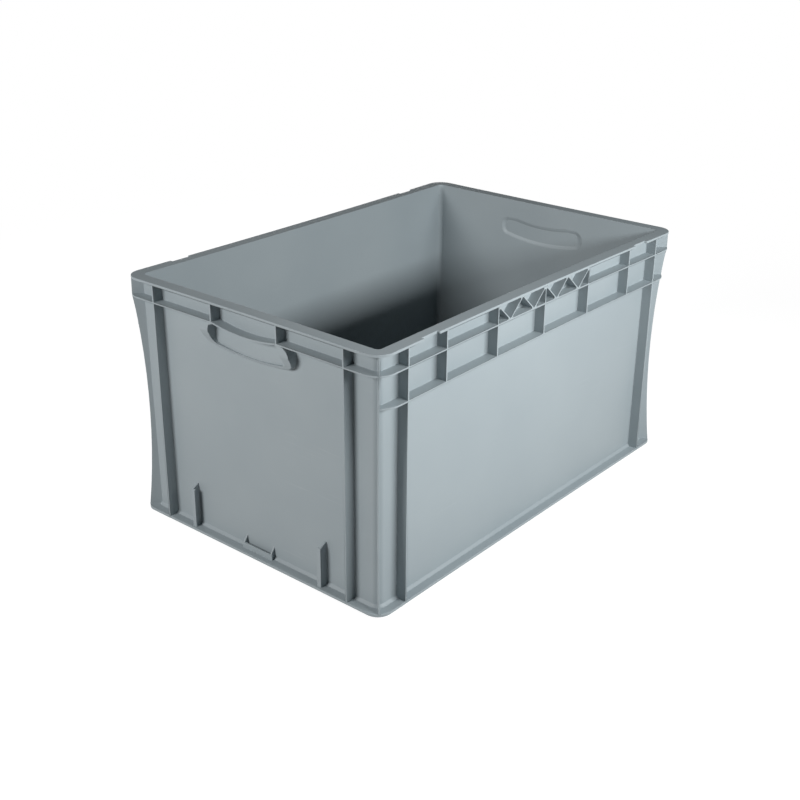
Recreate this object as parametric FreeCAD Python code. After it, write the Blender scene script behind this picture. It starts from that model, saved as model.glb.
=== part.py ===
import FreeCAD, Part
import math
import os

os.makedirs("parts", exist_ok=True)
Vector = FreeCAD.Vector

# Outside of the container, in millimetres. The rim is the largest outline.
rim_length = 600.0
rim_width = 400.0
height = 320.0
rim_corner_radius = 22.0
rim_plate = 3.0

# Thin shell between the rim and the floor.
wall = 2.5
rim_overhang = 13.5
wall_lean = 1.5
inner_corner_radius = 6.0
outer_corner_radius = 9.5
floor_plate = 3.0

# Stacking foot under the floor and the ledge that rests on the rim below.
foot_height = 10.0
foot_clearance = 2.0
foot_chamfer = 2.0
ledge_inset = 1.5
ledge_plate = 3.5
ledge_corner_radius = 18.0
ledge_root = 3.0

# Ribbed band under the rim. Drops are measured from the top of the rim.
rib = 2.0
shelf_drop = 23.0
band_drop = 61.0
long_rib_pitch = 94.0
long_end_rib = 253.5
short_inner_rib = 51.5
short_end_rib = 149.0

# Zigzag bracing in the middle of each long side, in half waves per side of the centre.
zigzag_half_waves = 4
zigzag_rib = 1.4
zigzag_rounding = 1.6

# Short hollows in the edge of the rim near the ends of the long sides.
notch_position = 215.0
notch_length = 27.0
notch_depth = 3.8

# Diagonal fin at each corner, with a hollow outer edge.
fin_hollow = 6.6

# Grip under the shelf on each short side: a raised hollow collar round a flat panel.
grip_dip = 5.5
grip_half_width = 69.8
grip_drop = 60.5
grip_sag = 9.0
grip_radius = 13.3
grip_foot_reach = 1.0
grip_slope_height = 24.0
grip_panel_half_width = 57.0
grip_panel_rise = 3.6
grip_panel_radius = 8.5
grip_panel_offset = 1.2
grip_skin = 1.7
grip_hollow_start = 50.0

# Label holder at the foot of each short side.
hook_position = 108.0
hook_width = 5.6
hook_reach = 10.8
hook_height = 57.0
hook_slope = 7.0
hook_plate = 2.2
clip_width = 49.0
clip_height = 7.0
clip_reach = 6.2
clip_plate = 2.0
gusset_height = 17.5
gusset_inset = 3.0

# Sizes that follow from the ones above.
half_length = rim_length / 2
half_width = rim_width / 2
wall_top_length = half_length - rim_overhang
wall_top_width = half_width - rim_overhang
wall_foot_length = wall_top_length - wall_lean
wall_foot_width = wall_top_width - wall_lean
ledge_top = foot_height + ledge_plate
foot_length = wall_top_length - wall - foot_clearance
foot_width = wall_top_width - wall - foot_clearance
rim_bottom = height - rim_plate
shelf_top = height - shelf_drop
shelf_bottom = shelf_top - rib
band_top = height - band_drop
band_bottom = band_top - rib
grip_bottom = height - grip_drop
overlap = 1.0


def rounded_outline(half_x, half_y, radius, z):
    # Wire of a rectangle with rounded corners, lying flat at height z.
    turn = radius * (1 - math.sqrt(0.5))
    edges = []
    corners = [(1, 1), (-1, 1), (-1, -1), (1, -1)]
    for index, (sx, sy) in enumerate(corners):
        on_y_side = Vector(sx * half_x, sy * (half_y - radius), z)
        on_x_side = Vector(sx * (half_x - radius), sy * half_y, z)
        middle = Vector(sx * (half_x - turn), sy * (half_y - turn), z)
        start, end = (on_y_side, on_x_side) if sx == sy else (on_x_side, on_y_side)
        edges.append(Part.Arc(start, middle, end).toShape())
        nx, ny = corners[(index + 1) % 4]
        if nx == ny:
            following = Vector(nx * half_x, ny * (half_y - radius), z)
        else:
            following = Vector(nx * (half_x - radius), ny * half_y, z)
        edges.append(Part.makeLine(end, following))
    return Part.Wire(edges)


def rounded_prism(half_x, half_y, radius, z_low, z_high):
    face = Part.Face(rounded_outline(half_x, half_y, radius, z_low))
    return face.extrude(Vector(0, 0, z_high - z_low))


def leaning_prism(low, high, z_low, z_high):
    # Solid between two rounded rectangles given as (half_x, half_y, radius).
    bottom = rounded_outline(low[0], low[1], low[2], z_low)
    top = rounded_outline(high[0], high[1], high[2], z_high)
    return Part.makeLoft([bottom, top], True, True)


def block(x_low, x_high, y_low, y_high, z_low, z_high):
    size = (x_high - x_low, y_high - y_low, z_high - z_low)
    return Part.makeBox(size[0], size[1], size[2], Vector(x_low, y_low, z_low))


def edges_along(shape, axis):
    # Straight edges of a solid that run along one axis.
    found = []
    for edge in shape.Edges:
        if len(edge.Vertexes) == 2:
            run = edge.Vertexes[1].Point - edge.Vertexes[0].Point
            if run.Length > 1e-6 and abs(abs(run.normalize().dot(axis)) - 1) < 1e-6:
                found.append(edge)
    return found


def mirrored(shape, across_x, across_y):
    result = [shape]
    if across_x:
        result += [item.mirror(Vector(0, 0, 0), Vector(1, 0, 0)) for item in result]
    if across_y:
        result += [item.mirror(Vector(0, 0, 0), Vector(0, 1, 0)) for item in result]
    return result


def shell_outside():
    # Foot, ledge, soft root above the ledge, leaning wall.
    chamfered = (foot_length - foot_chamfer, foot_width - foot_chamfer, outer_corner_radius - foot_chamfer)
    foot_outline = (foot_length, foot_width, outer_corner_radius)
    foot_edge = leaning_prism(chamfered, foot_outline, 0, foot_chamfer)
    foot = rounded_prism(foot_length, foot_width, outer_corner_radius, foot_chamfer, foot_height)
    ledge = rounded_prism(
        half_length - ledge_inset, half_width - ledge_inset, ledge_corner_radius, foot_height, ledge_top
    )
    wall_low = (wall_foot_length, wall_foot_width, outer_corner_radius)
    wall_high = (wall_top_length, wall_top_width, outer_corner_radius)
    spread = (wall_foot_length + ledge_root, wall_foot_width + ledge_root, outer_corner_radius + ledge_root)
    root = leaning_prism(spread, wall_low, ledge_top, ledge_top + ledge_root)
    side = leaning_prism(wall_low, wall_high, foot_height, height)
    return [foot_edge, foot, ledge, root, side]


def cavity():
    # Inside of the container, with a short taper where it enters the foot.
    taper_top = ledge_top + 2 * ledge_root
    inner_foot = (foot_length - wall, foot_width - wall, inner_corner_radius)
    inner_low = (wall_foot_length - wall, wall_foot_width - wall, inner_corner_radius)
    inner_high = (wall_top_length - wall, wall_top_width - wall, inner_corner_radius)
    taper = leaning_prism(inner_foot, inner_low, floor_plate, taper_top)
    main = leaning_prism(inner_low, inner_high, taper_top, height)
    mouth = rounded_prism(inner_high[0], inner_high[1], inner_corner_radius, height, height + overlap)
    return taper.fuse([main, mouth])


def rim():
    # Flat top flange with the four short hollows in its long edges.
    plate = rounded_prism(half_length, half_width, rim_corner_radius, rim_bottom, height)
    notch = block(
        notch_position - notch_length / 2, notch_position + notch_length / 2,
        half_width - notch_depth, half_width + overlap, rim_bottom - overlap, height + overlap
    )
    return plate.cut(mirrored(notch, True, True))


def shelf():
    # Horizontal rib all round, which dips between the inner ribs of the short sides.
    plate = rounded_prism(half_length, half_width, rim_corner_radius, shelf_bottom, shelf_top)
    gap = block(
        wall_top_length - wall, half_length + overlap, -short_inner_rib, short_inner_rib,
        shelf_bottom - overlap, shelf_top + overlap
    )
    x = wall_top_length - wall
    left, right = -short_inner_rib, short_inner_rib
    upper = Part.Arc(
        Vector(x, left, shelf_top), Vector(x, 0, shelf_top - grip_dip), Vector(x, right, shelf_top)
    )
    lower = Part.Arc(
        Vector(x, right, shelf_bottom), Vector(x, 0, shelf_bottom - grip_dip), Vector(x, left, shelf_bottom)
    )
    sides = [
        Part.makeLine(Vector(x, right, shelf_top), Vector(x, right, shelf_bottom)),
        Part.makeLine(Vector(x, left, shelf_bottom), Vector(x, left, shelf_top)),
    ]
    outline = Part.Wire([upper.toShape(), sides[0], lower.toShape(), sides[1]])
    dipped = Part.Face(outline).extrude(Vector(half_length - x, 0, 0))
    return [plate.cut(mirrored(gap, True, False))] + mirrored(dipped, True, False)


def lower_rib():
    # Lower edge of the band on the long sides, drawn in to end on the corner fins.
    corner = fin_edge_inset(band_top) / (1 - math.sqrt(0.5))
    plate = rounded_prism(half_length, half_width, corner, band_bottom, band_top)
    outer = Vector(half_length + overlap, half_width + overlap, band_bottom)
    inner = outer - Vector(half_width / 2, half_width / 2, 0)
    points = [outer, inner, Vector(-inner.x, inner.y, inner.z), Vector(-outer.x, outer.y, outer.z)]
    side = Part.Face(Part.makePolygon(points + points[:1])).extrude(Vector(0, 0, rib))
    return mirrored(plate.common(side), False, True)


def long_side_ribs():
    # Upright ribs of the band, and the end ribs that run down to the ledge.
    root = wall_foot_width - wall
    ribs = []
    for position in (long_rib_pitch, 2 * long_rib_pitch):
        ribs.append(block(
            position - rib / 2, position + rib / 2, root, half_width + overlap, band_bottom, rim_bottom
        ))
    ribs.append(block(
        long_end_rib - rib / 2, long_end_rib + rib / 2, root, half_width + overlap, foot_height, rim_bottom
    ))
    result = []
    for item in ribs:
        result += mirrored(item, True, True)
    centre = block(-rib / 2, rib / 2, root, half_width + overlap, band_bottom, shelf_bottom)
    return result + mirrored(centre, False, True)


def short_side_ribs():
    root = wall_foot_length - wall
    inner = block(
        root, half_length + overlap, short_inner_rib - rib / 2, short_inner_rib + rib / 2,
        shelf_bottom, rim_bottom
    )
    end = block(
        root, half_length + overlap, short_end_rib - rib / 2, short_end_rib + rib / 2,
        foot_height, rim_bottom
    )
    return mirrored(inner, True, True) + mirrored(end, True, True)


def zigzag_pocket(corners, y_start, depth):
    # One triangular pocket between two slanting ribs, with rounded inner corners.
    points = [Vector(x, y_start, z) for x, z in corners]
    face = Part.Face(Part.makePolygon(points + points[:1]))
    inner = face.makeOffset2D(-zigzag_rib / 2)
    solid = inner.extrude(Vector(0, depth, 0))
    return solid.makeFillet(zigzag_rounding, edges_along(solid, Vector(0, 1, 0)))


def zigzag():
    # Solid strip between shelf and rim with the pockets taken out of it.
    face = wall_top_width
    strip = block(-long_rib_pitch, long_rib_pitch, face - overlap, half_width, shelf_top, rim_bottom)
    low = shelf_top - zigzag_rib / 2
    high = rim_bottom + zigzag_rib / 2
    step = long_rib_pitch / zigzag_half_waves
    depth = half_width - face + overlap
    cutters = []
    for node in range(zigzag_half_waves + 1):
        x = node * step
        base, tip = (low, high) if node % 2 == 0 else (high, low)
        corners = [(max(x - step, 0), base), (min(x + step, long_rib_pitch), base), (x, tip)]
        cutters += mirrored(zigzag_pocket(corners, face, depth), True, False)
    return mirrored(strip.cut(cutters), False, True)


def fin_edge_inset(z):
    # Distance from the rim's sharp corner, along each side, to the outer edge of the fin.
    top = rim_corner_radius * (1 - math.sqrt(0.5))
    low = ledge_inset + ledge_corner_radius * (1 - math.sqrt(0.5))
    share = (z - ledge_top) / (shelf_bottom - ledge_top)
    return low + (top - low) * share + 4 * fin_hollow * share * (1 - share)


def corner_fin():
    # Thin upright plate on the corner diagonal.
    normal = Vector(1, -1, 0).normalize() * (rib / 2)
    root = rim_overhang + wall_lean + outer_corner_radius * (1 - math.sqrt(0.5)) + wall / 2

    def place(inset, z):
        return Vector(half_length - inset, half_width - inset, z) - normal

    middle = (ledge_top + shelf_bottom) / 2
    rim_end = place(fin_edge_inset(shelf_bottom), rim_bottom)
    top = place(fin_edge_inset(shelf_bottom), shelf_bottom)
    low = place(fin_edge_inset(ledge_top), ledge_top)
    edge = Part.Arc(top, place(fin_edge_inset(middle), middle), low).toShape()
    inner_low = place(root, ledge_top)
    inner_top = place(root, rim_bottom)
    sides = [
        Part.makeLine(low, inner_low),
        Part.makeLine(inner_low, inner_top),
        Part.makeLine(inner_top, rim_end),
        Part.makeLine(rim_end, top),
    ]
    plate = Part.Face(Part.Wire([edge] + sides)).extrude(normal * 2)
    return mirrored(plate, True, True)


def grip_prism(half, low, top, radius, x_low, x_high):
    # Prism along X over a rounded outline on the short side, with a sagging lower edge.
    end = low + grip_sag * (half / grip_half_width) ** 2
    left, right = Vector(x_low, -half, end), Vector(x_low, half, end)
    lower = Part.Arc(left, Vector(x_low, 0, low), right).toShape()
    upper = Part.makePolygon([right, Vector(x_low, half, top), Vector(x_low, -half, top), left])
    face = Part.Face(Part.Wire([lower] + upper.Edges))
    solid = face.extrude(Vector(x_high - x_low, 0, 0))
    return solid.makeFillet(radius, edges_along(solid, Vector(1, 0, 0)))


def grip_ring(shrink, x_low, x_high):
    # Ring between the collar's outer and inner outline, drawn in on both sides by shrink.
    outer = grip_prism(
        grip_half_width - shrink, grip_bottom + shrink, shelf_bottom - shrink, grip_radius - shrink,
        x_low, x_high
    )
    inner = grip_prism(
        grip_panel_half_width + shrink, grip_bottom + grip_panel_rise - shrink, shelf_bottom,
        grip_panel_radius + shrink, x_low - overlap, x_high + overlap
    )
    return outer.cut(inner)


def grip_wedge(set_back):
    # Space behind the collar's front, which slopes from the wall to the full rib depth.
    half = grip_half_width + overlap
    back = wall_top_length - wall - 2 * overlap
    front = half_length - set_back
    points = [
        Vector(back, -half, grip_bottom),
        Vector(wall_top_length + grip_foot_reach - set_back, -half, grip_bottom),
        Vector(front, -half, grip_bottom + grip_slope_height),
        Vector(front, -half, shelf_top),
        Vector(back, -half, shelf_top),
    ]
    return Part.Face(Part.makePolygon(points + points[:1])).extrude(Vector(0, 2 * half, 0))


def below_dip(x_low, x_high):
    # Prism along X over everything under the dipping shelf.
    half = grip_half_width + overlap
    low = grip_bottom - overlap
    left, right = -short_inner_rib, short_inner_rib
    corners = [
        Vector(x_low, left, shelf_bottom), Vector(x_low, -half, shelf_bottom), Vector(x_low, -half, low),
        Vector(x_low, half, low), Vector(x_low, half, shelf_bottom), Vector(x_low, right, shelf_bottom),
    ]
    dip = Part.Arc(corners[-1], Vector(x_low, 0, shelf_bottom - grip_dip), corners[0]).toShape()
    outline = Part.Wire([dip] + Part.makePolygon(corners).Edges)
    return Part.Face(outline).extrude(Vector(x_high - x_low, 0, 0))


def grip_collar():
    # Raised collar and the flat panel inside it.
    inside = wall_top_length - wall / 2
    collar = grip_ring(0, inside, half_length).common(grip_wedge(0))
    panel = grip_prism(
        grip_panel_half_width + overlap, grip_bottom + grip_panel_rise - overlap, shelf_bottom,
        grip_panel_radius, inside, wall_top_length + grip_panel_offset
    )
    panel = panel.common(below_dip(inside, half_length))
    return mirrored(collar, True, False) + mirrored(panel, True, False)


def grip_hollow():
    # Pockets behind both ends of the collar and the shallow recess behind the panel.
    start = wall_top_length - wall - overlap
    groove = grip_ring(grip_skin, start, half_length).common(grip_wedge(grip_skin))
    end = block(
        start - overlap, half_length, grip_hollow_start, grip_half_width, grip_bottom, shelf_bottom
    )
    recess = grip_prism(
        grip_half_width - grip_skin, grip_bottom + grip_skin, shelf_bottom - grip_skin,
        grip_radius - grip_skin, start, wall_top_length - wall + grip_panel_offset
    )
    recess = recess.common(below_dip(start, half_length))
    return mirrored(groove.common(end), True, True) + mirrored(recess, True, False)


def label_hook():
    # Upright web with a lip towards the middle; the top slopes down to the lip.
    face = wall_foot_length - wall / 2
    front = wall_foot_length + hook_reach
    top = ledge_top + hook_height
    outer, inner = hook_position, hook_position - hook_width
    outline = [
        Vector(face, outer, foot_height), Vector(front, outer, foot_height),
        Vector(front, inner, foot_height), Vector(front - hook_plate, inner, foot_height),
        Vector(front - hook_plate, outer - hook_plate, foot_height),
        Vector(face, outer - hook_plate, foot_height),
    ]
    plan = Part.Face(Part.makePolygon(outline + outline[:1]))
    upright = plan.extrude(Vector(0, 0, top - foot_height))
    side = [
        Vector(face, inner, foot_height), Vector(front, inner, foot_height),
        Vector(front, inner, top - hook_slope), Vector(face, inner, top),
    ]
    below = Part.Face(Part.makePolygon(side + side[:1])).extrude(Vector(0, hook_width, 0))
    return upright.common(below)


def label_clip():
    # Low plate in front of the wall, carried by two sloping gussets.
    face = wall_foot_length - wall / 2
    front = wall_foot_length + clip_reach
    half = clip_width / 2
    top = ledge_top + clip_height
    plate = block(front - clip_plate, front, -half, half, foot_height, top)
    y = half - gusset_inset
    points = [
        Vector(face, y, foot_height), Vector(front, y, foot_height), Vector(front, y, top),
        Vector(face, y, ledge_top + gusset_height),
    ]
    gusset = Part.Face(Part.makePolygon(points + points[:1])).extrude(Vector(0, clip_plate, 0))
    return [plate] + mirrored(gusset, False, True)


def label_holder():
    # Two hooks and a clip that hold a card against each short side.
    parts = mirrored(label_hook(), True, True)
    for item in label_clip():
        parts += mirrored(item, True, False)
    return parts


def container():
    low = (half_length - ledge_inset, half_width - ledge_inset, ledge_corner_radius)
    high = (half_length, half_width, rim_corner_radius)
    envelope = leaning_prism(low, high, foot_height, height)
    ribs = long_side_ribs() + short_side_ribs()
    ribs = [item.common(envelope) for item in ribs]
    outside = shell_outside() + [rim()] + shelf() + lower_rib() + zigzag() + corner_fin()
    outside += grip_collar() + label_holder() + ribs
    body = outside[0].fuse(outside[1:]).cut(cavity())
    body = body.cut(grip_hollow()).removeSplitter()
    solids = body.Solids
    return solids[0] if len(solids) == 1 else body


container().exportStep("parts/container.step")
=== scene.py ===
import math

import bpy
from mathutils import Matrix, Vector


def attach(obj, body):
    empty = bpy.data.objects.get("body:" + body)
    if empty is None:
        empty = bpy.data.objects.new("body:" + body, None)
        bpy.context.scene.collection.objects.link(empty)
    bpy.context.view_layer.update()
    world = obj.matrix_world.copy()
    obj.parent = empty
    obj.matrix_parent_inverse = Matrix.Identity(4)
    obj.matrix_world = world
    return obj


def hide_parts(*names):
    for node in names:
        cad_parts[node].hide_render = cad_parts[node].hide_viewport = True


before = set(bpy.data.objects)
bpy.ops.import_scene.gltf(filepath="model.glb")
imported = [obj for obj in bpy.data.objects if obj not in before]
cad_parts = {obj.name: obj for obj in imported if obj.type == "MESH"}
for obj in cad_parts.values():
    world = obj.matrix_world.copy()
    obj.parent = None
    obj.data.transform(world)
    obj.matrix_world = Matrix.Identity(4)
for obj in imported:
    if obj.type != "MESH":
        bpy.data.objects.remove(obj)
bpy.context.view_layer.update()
print("scene: frame loaded")


def deselectAll():
    if bpy.context.object and bpy.context.object.mode != "OBJECT":
        bpy.ops.object.mode_set(mode="OBJECT")
    bpy.ops.object.select_all(action="DESELECT")


def makeActive(piece):
    deselectAll()
    piece.select_set(True)
    bpy.context.view_layer.objects.active = piece


# Masks for the plastic: mould grain, slow mottle and handling marks

moldedGrain = {
    "grainDetail": 2.0,
    "grainRoughness": 0.6,
    "waveDetail": 3.0,
    "waveShare": 0.35,
    "streakScale": (14.0, 14.0, 330.0),
    "streakTurn": (0.5, 0.35, 0.0),
    "streakDetail": 3.0,
    "streakRange": (0.63, 0.72),
    "patchScale": 16.0,
    "patchDetail": 2.0,
    "patchRange": (0.52, 0.66),
}


def newGroup(name, inputs, outputs):
    group = bpy.data.node_groups.new(name, "ShaderNodeTree")
    for socketName, kind, value in inputs:
        socket = group.interface.new_socket(name=socketName, in_out="INPUT", socket_type=kind)
        socket.default_value = value
    for socketName, kind in outputs:
        group.interface.new_socket(name=socketName, in_out="OUTPUT", socket_type=kind)
    start = group.nodes.new("NodeGroupInput")
    end = group.nodes.new("NodeGroupOutput")
    return group, start, end


def noiseNode(nodes, detail, scale=None):
    noise = nodes.new("ShaderNodeTexNoise")
    noise.inputs["Detail"].default_value = detail
    if scale is not None:
        noise.inputs["Scale"].default_value = scale
    return noise


def rangeNode(nodes, low, high):
    stretched = nodes.new("ShaderNodeMapRange")
    stretched.inputs["From Min"].default_value = low
    stretched.inputs["From Max"].default_value = high
    return stretched


def mathNode(nodes, operation, slot=None, value=None):
    node = nodes.new("ShaderNodeMath")
    node.operation = operation
    if slot is not None:
        node.inputs[slot].default_value = value
    return node


def moldedGrainGroup():
    group, start, end = newGroup(
        "moldedGrain",
        [("Grain Scale", "NodeSocketFloat", 900.0), ("Wave Scale", "NodeSocketFloat", 7.0)],
        [
            ("Height", "NodeSocketFloat"),
            ("Mottle", "NodeSocketFloat"),
            ("Scuff", "NodeSocketFloat"),
        ],
    )
    nodes, links = group.nodes, group.links
    place = nodes.new("ShaderNodeTexCoord")

    # fine spark-eroded grain, with slow waves from the mould
    grain = noiseNode(nodes, moldedGrain["grainDetail"])
    grain.inputs["Roughness"].default_value = moldedGrain["grainRoughness"]
    wave = noiseNode(nodes, moldedGrain["waveDetail"])
    links.new(place.outputs["Object"], grain.inputs["Vector"])
    links.new(place.outputs["Object"], wave.inputs["Vector"])
    links.new(start.outputs["Grain Scale"], grain.inputs["Scale"])
    links.new(start.outputs["Wave Scale"], wave.inputs["Scale"])
    height = mathNode(nodes, "MULTIPLY_ADD", 1, moldedGrain["waveShare"])
    links.new(wave.outputs["Fac"], height.inputs[0])
    links.new(grain.outputs["Fac"], height.inputs[2])
    links.new(height.outputs[0], end.inputs["Height"])
    links.new(wave.outputs["Fac"], end.inputs["Mottle"])

    # thin handling marks, kept to patches
    stretch = nodes.new("ShaderNodeMapping")
    stretch.inputs["Scale"].default_value = moldedGrain["streakScale"]
    stretch.inputs["Rotation"].default_value = moldedGrain["streakTurn"]
    streak = noiseNode(nodes, moldedGrain["streakDetail"], 1.0)
    links.new(place.outputs["Object"], stretch.inputs["Vector"])
    links.new(stretch.outputs["Vector"], streak.inputs["Vector"])
    narrow = rangeNode(nodes, *moldedGrain["streakRange"])
    links.new(streak.outputs["Fac"], narrow.inputs["Value"])
    patch = noiseNode(nodes, moldedGrain["patchDetail"], moldedGrain["patchScale"])
    links.new(place.outputs["Object"], patch.inputs["Vector"])
    spread = rangeNode(nodes, *moldedGrain["patchRange"])
    links.new(patch.outputs["Fac"], spread.inputs["Value"])
    both = mathNode(nodes, "MULTIPLY")
    links.new(narrow.outputs["Result"], both.inputs[0])
    links.new(spread.outputs["Result"], both.inputs[1])
    links.new(both.outputs[0], end.inputs["Scuff"])
    return group


plastic = {
    "color": (0.300, 0.346, 0.368, 1.0),
    "pale": (0.313, 0.359, 0.380, 1.0),
    "deep": (0.288, 0.334, 0.357, 1.0),
    "mottleRange": (0.32, 0.68),
    # painted highlight: a paler colour for the rounded edges, as if they catch the light
    "edge": (0.365, 0.410, 0.425, 1.0),
    "edgeWidth": 0.0009,
    "edgeTurn": (0.97, 0.75),  # cosine between the flat and the rounded normal
    "edgeShare": 0.4,
    "edgeSamples": 4,
    "scuff": (0.47, 0.51, 0.52, 1.0),
    "scuffShare": 0.14,
    "roughness": (0.42, 0.56),
    "ior": 1.49,
    "specular": 0.4,
    "grainScale": 900.0,
    "waveScale": 7.0,
    "bump": 0.05,
    "bumpDistance": 0.0002,
}


def greyPlastic():
    material = bpy.data.materials.new("greyPlastic")
    material.use_nodes = True
    nodes, links = material.node_tree.nodes, material.node_tree.links
    nodes.clear()
    output = nodes.new("ShaderNodeOutputMaterial")
    shader = nodes.new("ShaderNodeBsdfPrincipled")
    links.new(shader.outputs[0], output.inputs[0])
    shader.inputs["IOR"].default_value = plastic["ior"]
    shader.inputs["Specular IOR Level"].default_value = plastic["specular"]

    grain = nodes.new("ShaderNodeGroup")
    grain.node_tree = moldedGrainGroup()
    grain.inputs["Grain Scale"].default_value = plastic["grainScale"]
    grain.inputs["Wave Scale"].default_value = plastic["waveScale"]

    mottle = nodes.new("ShaderNodeValToRGB")
    ramp = mottle.color_ramp.elements
    ramp[0].position, ramp[1].position = plastic["mottleRange"]
    ramp[0].color = plastic["deep"]
    ramp[1].color = plastic["pale"]
    ramp.new(0.5).color = plastic["color"]
    links.new(grain.outputs["Mottle"], mottle.inputs["Fac"])

    # painted highlight: rounded edges get a paler colour, standing in for light caught along
    # the edges
    geometry = nodes.new("ShaderNodeNewGeometry")
    rounded = nodes.new("ShaderNodeBevel")
    rounded.samples = plastic["edgeSamples"]
    rounded.inputs["Radius"].default_value = plastic["edgeWidth"]
    turn = nodes.new("ShaderNodeVectorMath")
    turn.operation = "DOT_PRODUCT"
    links.new(geometry.outputs["True Normal"], turn.inputs[0])
    links.new(rounded.outputs["Normal"], turn.inputs[1])
    edgeHighlightMask = rangeNode(nodes, *plastic["edgeTurn"])
    edgeHighlightMask.inputs["To Max"].default_value = plastic["edgeShare"]
    links.new(turn.outputs["Value"], edgeHighlightMask.inputs["Value"])
    paintedEdgeHighlight = nodes.new("ShaderNodeMix")
    paintedEdgeHighlight.data_type = "RGBA"
    paintedEdgeHighlight.inputs["B"].default_value = plastic["edge"]
    links.new(edgeHighlightMask.outputs["Result"], paintedEdgeHighlight.inputs["Factor"])
    links.new(mottle.outputs["Color"], paintedEdgeHighlight.inputs["A"])

    scuffShare = mathNode(nodes, "MULTIPLY", 1, plastic["scuffShare"])
    links.new(grain.outputs["Scuff"], scuffShare.inputs[0])
    scuffed = nodes.new("ShaderNodeMix")
    scuffed.data_type = "RGBA"
    scuffed.inputs["B"].default_value = plastic["scuff"]
    links.new(scuffShare.outputs[0], scuffed.inputs["Factor"])
    links.new(paintedEdgeHighlight.outputs["Result"], scuffed.inputs["A"])
    links.new(scuffed.outputs["Result"], shader.inputs["Base Color"])

    sheen = nodes.new("ShaderNodeMapRange")
    sheen.inputs["To Min"].default_value = plastic["roughness"][0]
    sheen.inputs["To Max"].default_value = plastic["roughness"][1]
    links.new(grain.outputs["Mottle"], sheen.inputs["Value"])
    links.new(sheen.outputs["Result"], shader.inputs["Roughness"])

    bump = nodes.new("ShaderNodeBump")
    bump.inputs["Strength"].default_value = plastic["bump"]
    bump.inputs["Distance"].default_value = plastic["bumpDistance"]
    links.new(grain.outputs["Height"], bump.inputs["Height"])
    links.new(bump.outputs["Normal"], shader.inputs["Normal"])
    return material


# The moulded body: a merged copy of the solid, with soft backs to the grips,
# every sharp edge rounded as the mould rounds it, and the sides drawn in a little

body = {
    "mergeDistance": 0.00001,
    "edgeRadius": 0.00035,
    "edgeSegments": 2,
    "sharpAngle": 28.0,
    "smoothAngle": 40.0,
}

# the steps are the width of each ring and how far it sinks
gripBack = {
    "mouthHalfWidth": 0.0690,
    "mouthLow": 0.2600,
    "mouthHigh": 0.2965,
    "innerFace": (0.2830, 0.2843),
    "upright": 0.999,
    "lap": 0.0008,
    "lift": 0.00006,
    "steps": ((0.0014, 0.00020), (0.0016, 0.00070), (0.0016, 0.00070), (0.0014, 0.00020)),
}

bow = {
    "long": 0.0053,
    "short": 0.0025,
    "points": 9,
    "cutSpacing": 0.05,
    "cutShift": 0.0011,  # keeps the cuts off the ribs' own edges
}


def mouthEdges(mesh, side):
    # edges where the hollow of one grip opens in the inner face of the wall
    low, high = gripBack["innerFace"]
    count = {}
    for face in mesh.polygons:
        flat = abs(face.normal.x) > gripBack["upright"] and low < side * face.center.x < high
        for key in face.edge_keys:
            count[key] = count.get(key, 0) + (1 if flat else 0)

    def inside(vertex):
        place = mesh.vertices[vertex].co
        return (
            low < side * place.x < high
            and abs(place.y) < gripBack["mouthHalfWidth"]
            and gripBack["mouthLow"] < place.z < gripBack["mouthHigh"]
        )

    return [
        edge.index for edge in mesh.edges
        if count[edge.key] == 1 and inside(edge.key[0]) and inside(edge.key[1])
    ]


def softenGripBack(piece, side):
    # close the mouth with a shallow dish that slopes in from the wall
    makeActive(piece)
    bpy.ops.object.mode_set(mode="EDIT")
    bpy.ops.mesh.select_mode(type="EDGE")
    bpy.ops.mesh.select_all(action="DESELECT")
    bpy.ops.object.mode_set(mode="OBJECT")
    found = mouthEdges(piece.data, side)
    for index in found:
        piece.data.edges[index].select = True
    bpy.ops.object.mode_set(mode="EDIT")
    bpy.ops.mesh.duplicate()
    bpy.ops.mesh.edge_face_add()
    bpy.ops.mesh.select_mode(type="FACE")
    bpy.ops.transform.translate(value=(-side * gripBack["lift"], 0, 0))
    bpy.ops.mesh.inset(thickness=gripBack["lap"], use_outset=True)
    for width, depth in gripBack["steps"]:
        bpy.ops.mesh.inset(thickness=width, use_even_offset=True)
        bpy.ops.transform.translate(value=(side * depth, 0, 0))
    bpy.ops.object.mode_set(mode="OBJECT")
    print("scene: grip back with", len(found), "mouth edges")


def roundEdges(piece):
    makeActive(piece)
    rounding = piece.modifiers.new("roundEdges", "BEVEL")
    rounding.width = body["edgeRadius"]
    rounding.segments = body["edgeSegments"]
    rounding.limit_method = "ANGLE"
    rounding.angle_limit = math.radians(body["sharpAngle"])
    rounding.use_clamp_overlap = False
    rounding.miter_outer = "MITER_SHARP"
    bpy.ops.object.modifier_apply(modifier="roundEdges")


def cutForBow(piece):
    # plain cuts across the long faces, so that they can bend
    size = piece.dimensions
    makeActive(piece)
    bpy.ops.object.mode_set(mode="EDIT")
    for axis in (0, 1):
        cuts = int(size[axis] / bow["cutSpacing"])
        for cut in range(1, cuts):
            place = [0.0, 0.0, 0.0]
            normal = [0.0, 0.0, 0.0]
            place[axis] = size[axis] * (cut / cuts - 0.5) + bow["cutShift"]
            normal[axis] = 1.0
            bpy.ops.mesh.select_all(action="SELECT")
            bpy.ops.mesh.bisect(plane_co=place, plane_no=normal)
    bpy.ops.object.mode_set(mode="OBJECT")


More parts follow.
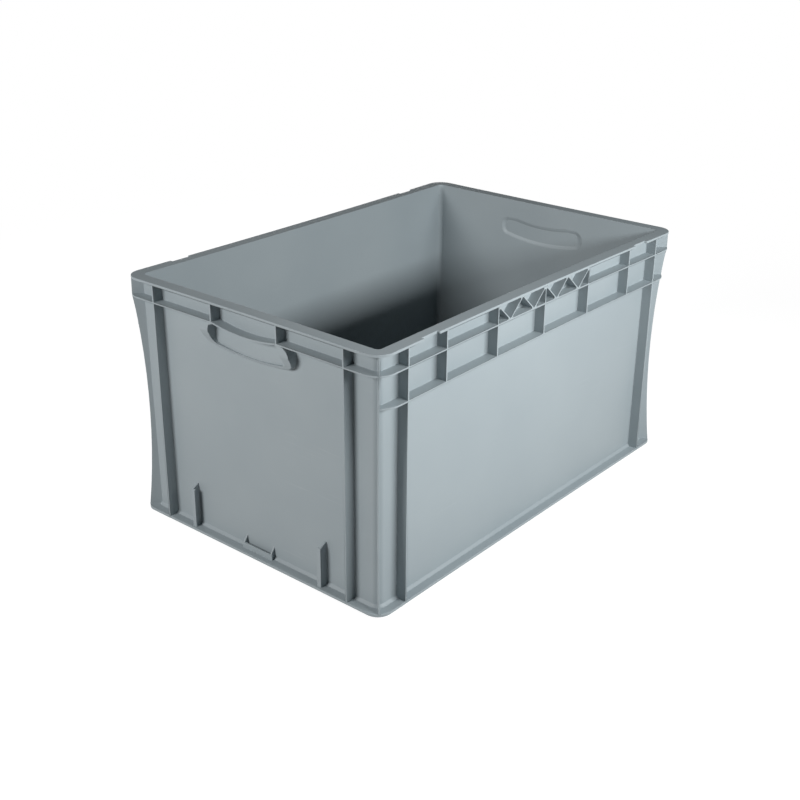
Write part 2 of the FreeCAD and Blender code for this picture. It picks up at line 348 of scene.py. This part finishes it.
def bowSides(piece):
    # moulded walls cool with a slight inward bow, widest in the middle of the rim
    size = piece.dimensions.copy()
    deselectAll()
    bpy.ops.object.add(type="LATTICE", location=(0, 0, size.z / 2))
    cage = bpy.context.object
    cage.scale = size
    cage.data.points_u = bow["points"]
    cage.data.points_v = bow["points"]
    for point in cage.data.points:
        x, y, z = point.co
        raised = z + 0.5
        inX = 2 * x * (1 - 4 * y * y) * raised * bow["short"] / size.x
        inY = 2 * y * (1 - 4 * x * x) * raised * bow["long"] / size.y
        point.co_deform = (x - inX, y - inY, z)
    bpy.context.view_layer.update()
    makeActive(piece)
    bend = piece.modifiers.new("bowSides", "LATTICE")
    bend.object = cage
    bpy.ops.object.modifier_apply(modifier="bowSides")
    deselectAll()
    cage.select_set(True)
    bpy.ops.object.delete()


def smoothFaces(piece):
    makeActive(piece)
    bpy.ops.object.shade_smooth_by_angle(angle=math.radians(body["smoothAngle"]))
    weighted = piece.modifiers.new("evenNormals", "WEIGHTED_NORMAL")
    weighted.keep_sharp = True
    bpy.ops.object.modifier_apply(modifier="evenNormals")


def moldedBody():
    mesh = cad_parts["container"].data.copy()
    piece = bpy.data.objects.new("moldedBody", mesh)
    bpy.context.scene.collection.objects.link(piece)
    makeActive(piece)
    bpy.ops.object.mode_set(mode="EDIT")
    bpy.ops.mesh.select_all(action="SELECT")
    bpy.ops.mesh.remove_doubles(threshold=body["mergeDistance"])
    bpy.ops.object.mode_set(mode="OBJECT")
    if mesh.has_custom_normals:
        bpy.ops.mesh.customdata_custom_splitnormals_clear()
    softenGripBack(piece, 1)
    softenGripBack(piece, -1)
    roundEdges(piece)
    cutForBow(piece)
    bowSides(piece)
    smoothFaces(piece)
    piece.data.materials.clear()
    piece.data.materials.append(greyPlastic())
    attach(piece, "root")
    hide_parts("container")
    print("scene: body", len(piece.data.polygons), "faces")


moldedBody()


# Floor, backdrop and light

studio = {
    "floorSize": 14.0,
    "floorColor": (0.32, 0.32, 0.32, 1.0),
    "paperGlow": 0.87,
    "whiteFrom": 0.75,
    "whiteTo": 1.5,
    "white": (1.0, 1.0, 1.0, 1.0),
    "world": (0.93, 0.97, 1.0, 1.0),
    "worldStrength": 0.016,
}


def floorMaterial():
    # pale paper that keeps the shadow, and that eye and gloss see pure white further out
    material = bpy.data.materials.new("paperFloor")
    material.use_nodes = True
    material.cycles.emission_sampling = "NONE"
    nodes, links = material.node_tree.nodes, material.node_tree.links
    nodes.clear()
    output = nodes.new("ShaderNodeOutputMaterial")
    path = nodes.new("ShaderNodeLightPath")
    shown = mathNode(nodes, "MAXIMUM")
    links.new(path.outputs["Is Camera Ray"], shown.inputs[0])
    links.new(path.outputs["Is Glossy Ray"], shown.inputs[1])

    paper = nodes.new("ShaderNodeBsdfDiffuse")
    paper.inputs["Color"].default_value = studio["floorColor"]
    glow = nodes.new("ShaderNodeEmission")
    glowShare = mathNode(nodes, "MULTIPLY", 1, studio["paperGlow"])
    near = nodes.new("ShaderNodeAddShader")
    links.new(shown.outputs[0], glowShare.inputs[0])
    links.new(glowShare.outputs[0], glow.inputs["Strength"])
    links.new(paper.outputs[0], near.inputs[0])
    links.new(glow.outputs[0], near.inputs[1])

    place = nodes.new("ShaderNodeTexCoord")
    reach = nodes.new("ShaderNodeVectorMath")
    reach.operation = "LENGTH"
    links.new(place.outputs["Object"], reach.inputs[0])
    away = rangeNode(nodes, studio["whiteFrom"], studio["whiteTo"])
    away.interpolation_type = "SMOOTHSTEP"
    links.new(reach.outputs["Value"], away.inputs["Value"])
    share = mathNode(nodes, "MULTIPLY")
    links.new(away.outputs["Result"], share.inputs[0])
    links.new(shown.outputs[0], share.inputs[1])
    far = nodes.new("ShaderNodeEmission")
    far.inputs["Color"].default_value = studio["white"]
    mix = nodes.new("ShaderNodeMixShader")
    links.new(share.outputs[0], mix.inputs[0])
    links.new(near.outputs[0], mix.inputs[1])
    links.new(far.outputs[0], mix.inputs[2])
    links.new(mix.outputs[0], output.inputs[0])
    return material


def paperFloor():
    deselectAll()
    bpy.ops.mesh.primitive_plane_add(size=studio["floorSize"], location=(0, 0, 0))
    floor = bpy.context.object
    floor.name = "paperFloor"
    floor.data.materials.append(floorMaterial())


def studioWorld():
    # faint light from all round, behind a backdrop that the camera sees white
    world = bpy.data.worlds.new("studioWorld")
    bpy.context.scene.world = world
    world.use_nodes = True
    nodes, links = world.node_tree.nodes, world.node_tree.links
    nodes.clear()
    output = nodes.new("ShaderNodeOutputWorld")
    soft = nodes.new("ShaderNodeBackground")
    soft.inputs["Color"].default_value = studio["world"]
    soft.inputs["Strength"].default_value = studio["worldStrength"]
    backdrop = nodes.new("ShaderNodeBackground")
    backdrop.inputs["Color"].default_value = studio["white"]
    mix = nodes.new("ShaderNodeMixShader")
    path = nodes.new("ShaderNodeLightPath")
    links.new(path.outputs["Is Camera Ray"], mix.inputs[0])
    links.new(soft.outputs[0], mix.inputs[1])
    links.new(backdrop.outputs[0], mix.inputs[2])
    links.new(mix.outputs[0], output.inputs[0])


lamps = {
    "endPanel": {
        "place": (-1.75, 0.42, 0.94),
        "size": (0.7, 0.50),
        "power": 25.5,
        "color": (1.0, 0.985, 0.975),
    },
    "longPanel": {
        "place": (0.04, -1.0, 0.625),
        "size": (0.85, 0.14),
        "power": 13.8,
        "color": (0.975, 0.985, 0.985),
    },
    "backPanel": {
        "place": (1.45, 1.60, 0.24),
        "size": (1.0, 0.3),
        "power": 34.0,
        "color": (0.985, 0.985, 0.985),
    },
}


def studioLamps(target):
    for name, facts in lamps.items():
        light = bpy.data.lights.new(name, "AREA")
        light.shape = "RECTANGLE"
        light.size, light.size_y = facts["size"]
        light.energy = facts["power"]
        light.color = facts["color"]
        lamp = bpy.data.objects.new(name, light)
        bpy.context.scene.collection.objects.link(lamp)
        lamp.visible_camera = False
        lamp.location = facts["place"]
        lamp.rotation_euler = (target - lamp.location).to_track_quat("-Z", "Y").to_euler()


# Camera at the photo's place, found from the container's own straight edges

camera = {
    "focalPixels": 1224.33,
    "framePixels": 800.0,
    "sensorWidth": 36.0,
    "azimuth": -50.26,
    "elevation": 24.17,
    "roll": 0.50,
    "distance": 1.59842,
    "aside": -0.01814,
    "above": -0.04119,
    "aim": (0.0, 0.0, 0.160),
    "reach": (0.01, 100.0),
}


def photoCamera():
    data = bpy.data.cameras.new("photoCamera")
    data.sensor_width = camera["sensorWidth"]
    data.lens = data.sensor_width * camera["focalPixels"] / camera["framePixels"]
    data.clip_start, data.clip_end = camera["reach"]
    eye = bpy.data.objects.new("photoCamera", data)
    bpy.context.scene.collection.objects.link(eye)
    turn = math.radians(camera["azimuth"])
    rise = math.radians(camera["elevation"])
    roll = math.radians(camera["roll"])
    back = Vector((
        math.sin(turn) * math.cos(rise),
        -math.cos(turn) * math.cos(rise),
        math.sin(rise),
    ))
    level = Vector((math.cos(turn), math.sin(turn), 0))
    upright = back.cross(level)
    right = math.cos(roll) * level + math.sin(roll) * upright
    up = -math.sin(roll) * level + math.cos(roll) * upright
    place = Vector(camera["aim"]) + camera["aside"] * level + camera["above"] * upright
    place += camera["distance"] * back
    eye.matrix_world = Matrix((
        (right.x, up.x, back.x, place.x),
        (right.y, up.y, back.y, place.y),
        (right.z, up.z, back.z, place.z),
        (0, 0, 0, 1),
    ))
    bpy.context.scene.camera = eye


paperFloor()
studioWorld()
studioLamps(Vector(camera["aim"]))
print("scene: floor, backdrop and", len(lamps), "lamps")

photoCamera()
bpy.context.scene.view_settings.view_transform = "Standard"
print("scene: camera in place")

print("scene: done")
